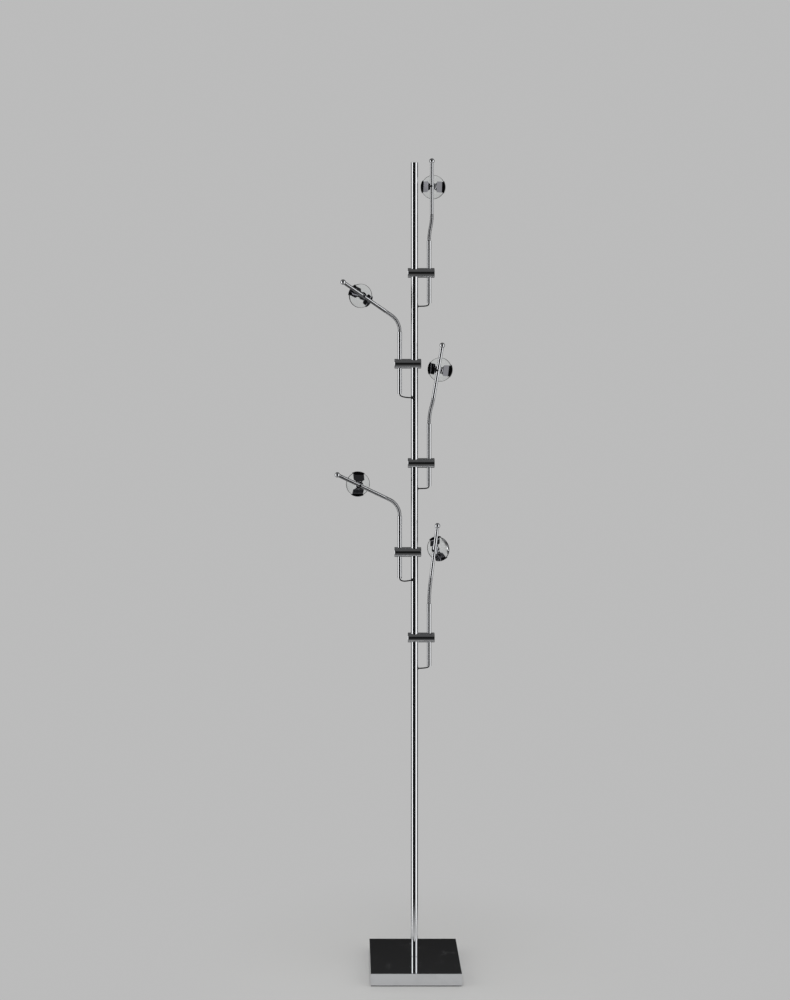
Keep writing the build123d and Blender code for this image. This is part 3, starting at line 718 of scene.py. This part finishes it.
# %% Lens
# in mm, and heights along the head's axis from its joint
LENS_RADIUS, LENS_BACK, LENS_RIM, DOME_RADIUS = 27.0, 18.5, 3.0, 50.0
GROUND, FRONT_DEPTH = 0.6, 0.36  # the width of both chamfers, and the depth of the front one
FLAT_RINGS, DOME_STEPS = 8, 24
FACING = 0.8  # a face whose normal lies less along the axis than this is part of the rim
dome_centre = LENS_BACK + LENS_RIM - sqrt(DOME_RADIUS**2 - LENS_RADIUS**2)
dome_edge = LENS_RADIUS - GROUND
dome_start = (dome_edge, dome_centre + sqrt(DOME_RADIUS**2 - dome_edge**2))


def lens_section():
    flat = [(LENS_RADIUS * ring / FLAT_RINGS, LENS_BACK) for ring in range(FLAT_RINGS)]
    edge = [(LENS_RADIUS - GROUND, LENS_BACK), (LENS_RADIUS, LENS_BACK + GROUND),
            (LENS_RADIUS, LENS_BACK + LENS_RIM - FRONT_DEPTH)]
    dome = rounded(dome_start, (0, dome_centre + DOME_RADIUS), (0, dome_centre), DOME_STEPS)
    return flat + edge + dome[:-1] + [(0, dome_centre + DOME_RADIUS)]


def blacken_edge(lens, arm):
    """Give the rim and its chamfers, which point away from the axis, the matt black of painted
    shade.
    """
    axis = head_frame(arm)[1]
    lens.data.materials.append(rim_shade)
    for face in lens.data.polygons:
        face.material_index = int(abs(face.normal.dot(axis)) < FACING)


for arm in ARMS:
    lens = spun(f"lens_glass_{arm}", arm, lens_section(), lens_glass, columns=128)
    sharp_by_angle(lens, 25)
    blacken_edge(lens, arm)
    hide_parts(f"lens_{arm}")
    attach(lens, f"arm_{arm}_head")
print("lens dome stands", round(dome_centre + DOME_RADIUS - LENS_BACK, 2), "mm over its back")

# %% Bulb
# in mm, as the lens is
BULB_SEAT, BULB_LENGTH, BULB_RADIUS, BULB_WALL = 11.8, 5.5, 3.5, 0.45
QUARTZ_LIFT, QUARTZ_CORNER, LINING_CORNER = 0.3, 0.6, 0.3  # over the seat, and its edges
FOOT_RADIUS, FOOT_DEPTH, FOOT_CHAMFER = 2.4, 2.1, 0.2
COLLAR_INSET, COLLAR_HEIGHT = 0.5, 0.28  # the foot's rim under the quartz


def half_dome(radius, height):
    """The half section of a dome, ending in one point on the axis."""
    top = (0, height + radius)
    return rounded((radius, height), top, (0, height), 14)[:-1] + [top]


def bulb_sections():
    """The quartz shell's half section, outside and then inside, and the ceramic foot's."""
    shoulder = BULB_SEAT + BULB_LENGTH - BULB_RADIUS
    bottom, flat = BULB_SEAT + QUARTZ_LIFT, BULB_RADIUS - QUARTZ_CORNER
    floor = bottom + QUARTZ_CORNER
    outside = [(0, bottom)] + rounded((flat, bottom), (BULB_RADIUS, floor), (flat, floor), 6)
    outside += half_dome(BULB_RADIUS, shoulder)
    inner = BULB_RADIUS - BULB_WALL
    inside = [(0, floor), (inner - LINING_CORNER, floor), (inner, floor + LINING_CORNER)]
    inside += half_dome(inner, shoulder)
    underside, collar = BULB_SEAT - FOOT_DEPTH, BULB_RADIUS - COLLAR_INSET
    foot = [(0, underside), (FOOT_RADIUS - FOOT_CHAMFER, underside),
            (FOOT_RADIUS, underside + FOOT_CHAMFER), (FOOT_RADIUS, BULB_SEAT),
            (collar, BULB_SEAT), (collar, BULB_SEAT + COLLAR_HEIGHT),
            (0, BULB_SEAT + COLLAR_HEIGHT)]
    return outside, inside, foot


def join_inside(shell, lining):
    """Turn the lining's faces inwards and add it to the shell, which makes a hollow wall."""
    lining.data.flip_normals()
    both = bmesh.new()
    both.from_mesh(shell.data)
    both.from_mesh(lining.data)
    both.to_mesh(shell.data)
    both.free()
    bpy.data.objects.remove(lining)


for arm in ARMS:
    outside, inside, foot = bulb_sections()
    shell = spun(f"bulb_quartz_{arm}", arm, outside, quartz, columns=64)
    join_inside(shell, spun("lining", arm, inside, quartz, columns=64))
    base = spun(f"bulb_foot_{arm}", arm, foot, ceramic, columns=48)
    sharp_by_angle(base, 30)
    for piece in (shell, base):
        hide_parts(f"bulb_{arm}")
        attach(piece, f"arm_{arm}_head")
print("bulbs:", BULB_RADIUS * 2, "mm across, with a wall of", BULB_WALL, "mm")

# %% [markdown]
# ### The filament
#
# The filament is a coil of tungsten wire that lies across the capsule. A Geometry Nodes tree
# winds a spiral and gives it a round section, so the number of turns is one input.


# %% Geometry Nodes: a wound coil
def coil_tree():
    sizes = {"Turns": 9.0, "Coil radius": 0.0005, "Coil length": 0.0028, "Wire radius": 0.00009}
    tree, inputs = new_tree("wound_coil", sizes)
    spiral = grow(tree, "GeometryNodeCurveSpiral", inputs={
        "Resolution": 20, "Rotations": inputs["Turns"], "Start Radius": inputs["Coil radius"],
        "End Radius": inputs["Coil radius"], "Height": inputs["Coil length"]})
    section = {"Resolution": 6, "Radius": inputs["Wire radius"]}
    ring = grow(tree, "GeometryNodeCurvePrimitiveCircle", inputs=section)
    sweep = {"Curve": spiral, "Profile Curve": ring, "Fill Caps": True}
    wire = grow(tree, "GeometryNodeCurveToMesh", inputs=sweep)
    return close_tree(tree, wire, inputs)


# %% Filaments and their wires
wound_coil = coil_tree()
COIL_LENGTH, COIL_LIFT = 2.8 * MM, 0.6 * MM  # the lift is over the bulb's shoulder
WIRE_DIAMETER, WIRE_END = 0.26 * MM, 0.8 * MM  # the ends stand upright for this far
WIRE_FOOT, WIRE_SPREAD = (BULB_SEAT + 0.6) * MM, 0.9 * MM  # where a wire starts, up and out
WIRE_OUT = 0.5 * MM  # at the top, from the coil's middle to its skin


def make_filament(arm):
    origin, axis, across, other = head_frame(arm)
    middle = origin + axis * ((BULB_SEAT + BULB_LENGTH - BULB_RADIUS) * MM + COIL_LIFT)
    carrier = bpy.data.objects.new("carrier", bpy.data.meshes.new("carrier"))
    values = {"Coil length": COIL_LENGTH}
    coil = apply_tree(carrier, wound_coil, values, f"filament_{arm}", tungsten)
    turn = Matrix((other, axis, across)).transposed().to_4x4()
    coil.data.transform(Matrix.Translation(middle - across * (COIL_LENGTH / 2)) @ turn)
    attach(coil, f"arm_{arm}_head")
    for side, label in ((-1, "a"), (1, "b")):
        top = middle + across * (side * COIL_LENGTH / 2) + other * WIRE_OUT
        foot = origin + axis * WIRE_FOOT + across * (side * WIRE_SPREAD)
        route = [foot, foot + axis * WIRE_END, top - axis * WIRE_END, top]
        shaped = smooth_curve(route, WIRE_DIAMETER)
        wire = plain_mesh(shaped, f"wire_{label}_{arm}", support_wire)
        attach(wire, f"arm_{arm}_head")


for arm in ARMS:
    make_filament(arm)
print("filaments:", COIL_LENGTH * 1000, "mm long")

# %% [markdown]
# ## The pad
#
# A soft sheet never has the knife edges of a solid model. The pad is built from outlines stacked
# on one another, each pushed in a little further towards its two faces, which rounds the edges.

# %% Pad
PAD_SIDE, PAD_THICKNESS, PAD_CORNER, PAD_EDGE = 198 * MM, 2 * MM, 1 * MM, 0.5 * MM
CORNER_STEPS, EDGE_STEPS = 8, 6


def pad_outline(inset, height):
    """Points round the pad with rounded corners, pushed in by a length."""
    half, radius = PAD_SIDE / 2 - PAD_CORNER, PAD_CORNER - inset
    spots = []
    for corner, (along, across) in enumerate([(1, 1), (-1, 1), (-1, -1), (1, -1)]):
        for step in range(CORNER_STEPS + 1):
            turn = pi / 2 * (corner + step / CORNER_STEPS)
            x, y = along * half + radius * cos(turn), across * half + radius * sin(turn)
            spots.append((x, y, height))
    return spots


def make_pad():
    shape = bmesh.new()
    turns = [pi / 2 * step / EDGE_STEPS for step in range(EDGE_STEPS + 1)]
    bends = [(PAD_EDGE * (1 - sin(turn)), PAD_EDGE * (1 - cos(turn))) for turn in turns]
    outlines = [pad_outline(inset, rise) for inset, rise in bends]
    outlines += [pad_outline(inset, PAD_THICKNESS - rise) for inset, rise in reversed(bends)]
    rings = [[shape.verts.new(spot) for spot in outline] for outline in outlines]
    for low, high in zip(rings, rings[1:]):
        sides = zip(low, low[1:] + low[:1], high[1:] + high[:1], high)
        for corners in sides:
            shape.faces.new(corners)
    shape.faces.new(rings[0])
    shape.faces.new(rings[-1])
    pad = piece_from(shape, "rubber_foot", foot_rubber)
    print("pad:", face_outwards(pad), "open edges")
    sharp_by_angle(pad, 40)
    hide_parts("base_pad")
    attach(pad, "stand")


make_pad()

# %% [markdown]
# ## The studio
#
# Chrome has no look of its own: it shows the room. In a white tent it turns milky, and in the
# open it goes black. Photographers of tubes stand them before a pale backdrop in a dark room,
# with two tall soft lights at the sides. Each light draws one crisp line along every tube, and
# the dark between the lines is what makes the metal look like metal.
#
# The backdrop is a colour of the world, not a wall, so it is there from every side. Rays that
# come straight from the camera see it all round. Rays that bounce off metal see it only
# straight behind the lamp, and elsewhere a dark room, which is a little less dark above and
# below. Rays through glass see it before and behind. Where a ray goes is told by its direction:
# along +Y, depth is 1, and straight up, height is 1.


# %% What a ray has met
def light_path(tree, kind):
    return grow(tree, "ShaderNodeLightPath", output=f"Is {kind} Ray")


def metal_or_glass(tree):
    """Whether a ray comes off metal, and whether it has come through glass."""
    through_glass = light_path(tree, "Transmission")
    # a ray that has passed through clear glass counts as glossy too
    return light_path(tree, "Glossy") * (1 - through_glass), through_glass


# %% World
PALE, FILL = 0.50, 0.45  # the backdrop, and what lights matt surfaces
DARK_METAL, DIM_METAL, DARK_GLASS = 0.010, 0.09, 0.02
# the depths, and then the heights, between which one part of the room passes into the next
BEHIND, BEFORE_OR_BEHIND = (0.86, 0.95), (0.55, 0.85)
BACKDROP_TOP, STEEP = (0.20, 0.32), (0.30, 0.60)
world = bpy.data.worlds.new("studio")
bpy.context.scene.world = world
world.use_nodes = True
room = world.node_tree
room.nodes.clear()
toward = grow(room, "ShaderNodeTexCoord", output="Generated")
depth, height = (grow(room, "ShaderNodeSeparateXYZ", inputs={"Vector": toward}, output=name)
                 for name in "YZ")
from_camera = light_path(room, "Camera")
off_metal, through_glass = metal_or_glass(room)
behind = between(room, *BEHIND, depth) * (1 - between(room, *BACKDROP_TOP, height))
before_or_behind = between(room, *BEFORE_OR_BEHIND, depth.math("ABSOLUTE"))
above_or_below = between(room, *STEEP, height.math("ABSOLUTE"))
dim = above_or_below * (DIM_METAL - DARK_METAL) + DARK_METAL
in_metal = behind * (PALE - dim) + dim
in_glass = before_or_behind * (PALE - DARK_GLASS) + DARK_GLASS
others = 1 - from_camera - off_metal - through_glass
level = from_camera * PALE + off_metal * in_metal + through_glass * in_glass + others * FILL
glow = {"Color": (1, 1, 1, 1), "Strength": level}
backdrop = grow(room, "ShaderNodeBackground", inputs=glow)
outlet = room.nodes.new("ShaderNodeOutputWorld")
room.links.new(backdrop.socket, outlet.inputs["Surface"])
print("world:", PALE, "to the camera, and from", DARK_METAL, "to", PALE, "to metal")

# %% [markdown]
# The floor is pale and plain, and takes the lamp's shadow. Away from the lamp it passes over
# into the backdrop's own colour, as a paper sweep does, so that no horizon cuts the picture.
# The metal sees the floor only close to the lamp. Further out it looks through it into the dark
# room, and the two side lights reach down past it, so the bright lines run on down the pole to
# its foot.


# %% Floor
FLOOR_RADIUS = 60.0
LIT, SWEPT = 0.15, 0.60  # distances at which the sweep begins and is complete
MIRRORED, UNSEEN = 0.18, 0.45  # and at which metal begins to lose the floor and has lost it


def make_floor():
    shape = bmesh.new()
    bmesh.ops.create_circle(shape, cap_ends=True, radius=FLOOR_RADIUS, segments=96)
    material, tree, shader = finish("pale_floor", Roughness=0.55)
    where = place(tree)
    cloud = noise(tree, where, 1.3, detail=2.0)
    link(tree, tint(tree, cloud, (0.54, 0.54, 0.535), (0.51, 0.51, 0.505)), shader, "Base Color")
    distance = vectors(tree, "LENGTH", {0: where}, "Value")
    far = between(tree, LIT, SWEPT, distance)
    unseen = between(tree, MIRRORED, UNSEEN, distance) * metal_or_glass(tree)[0]
    lit = Flow(tree, shader.outputs[0])
    glow = grow(tree, "ShaderNodeEmission", inputs={"Color": (1, 1, 1, 1), "Strength": PALE})
    clear = grow(tree, "ShaderNodeBsdfTransparent")
    sweep = grow(tree, "ShaderNodeMixShader", inputs={0: far, 1: lit, 2: glow})
    surface = grow(tree, "ShaderNodeMixShader", inputs={0: unseen, 1: sweep, 2: clear})
    tree.links.new(surface.socket, tree.nodes["Material Output"].inputs["Surface"])
    floor = piece_from(shape, "floor", material)
    print("floor:", FLOOR_RADIUS * 2, "m across, plain from", SWEPT, "m on")


make_floor()

# %% [markdown]
# Four lights are enough. The left one is narrower and brighter than the right one, so the two
# lines that they draw along a tube differ. A small one is placed for the sloping rods, and one
# from above gives the floor its shadow. None of them shows in the picture or through glass.


# %% Lights
def soft_light(name, spot, target, width, height, radiance):
    """A rectangle of even light; its power follows from its area and how bright it looks."""
    data = bpy.data.lights.new(name, "AREA")
    data.shape = "RECTANGLE"
    data.size, data.size_y = width, height
    data.energy = radiance * pi * width * height
    lamp = bpy.data.objects.new(name, data)
    lamp.location = spot
    lamp.rotation_mode = "QUATERNION"
    lamp.rotation_quaternion = (Vector(target) - Vector(spot)).to_track_quat("-Z", "Y")
    lamp.visible_camera = False
    # a lens would bend each light into a few hard white specks
    lamp.visible_transmission = False
    bpy.context.scene.collection.objects.link(lamp)
    print(name, "is", round(data.energy, 1), "W")
    return lamp


def round_the_pole(azimuth, distance, height):
    """A place by its angle from the camera's side, positive to the right."""
    return (distance * sin(radians(azimuth)), -distance * cos(radians(azimuth)), height)


SIDE_DISTANCE, SIDE_MIDDLE, SIDE_HEIGHT = 2.2, 0.6, 4.4
side_lights = [("left_light", -78, 1.35, 1.55), ("right_light", 64, 2.2, 1.10)]
for name, azimuth, width, radiance in side_lights:
    spot = round_the_pole(azimuth, SIDE_DISTANCE, SIDE_MIDDLE)
    soft_light(name, spot, (0, 0, SIDE_MIDDLE), width, SIDE_HEIGHT, radiance)
# two of the rods slope up to the left, and this light draws the line along them
soft_light("slope_light", (0.95, -0.25, 2.9), (0, 0, 1.1), width=0.6, height=0.4, radiance=0.7)
top_light = soft_light("top_light", (-0.2, -0.5, 3.6), (0, 0, 0), width=1.3, height=1.3,
                       radiance=10.0)
# seen in the clamps, the top light would be a broad white band along each of them
top_light.visible_glossy = False

# %% [markdown]
# ## Colour
#
# The Standard view shows a colour about as it is written.

# %% Finish
bpy.context.scene.view_settings.view_transform = "Standard"
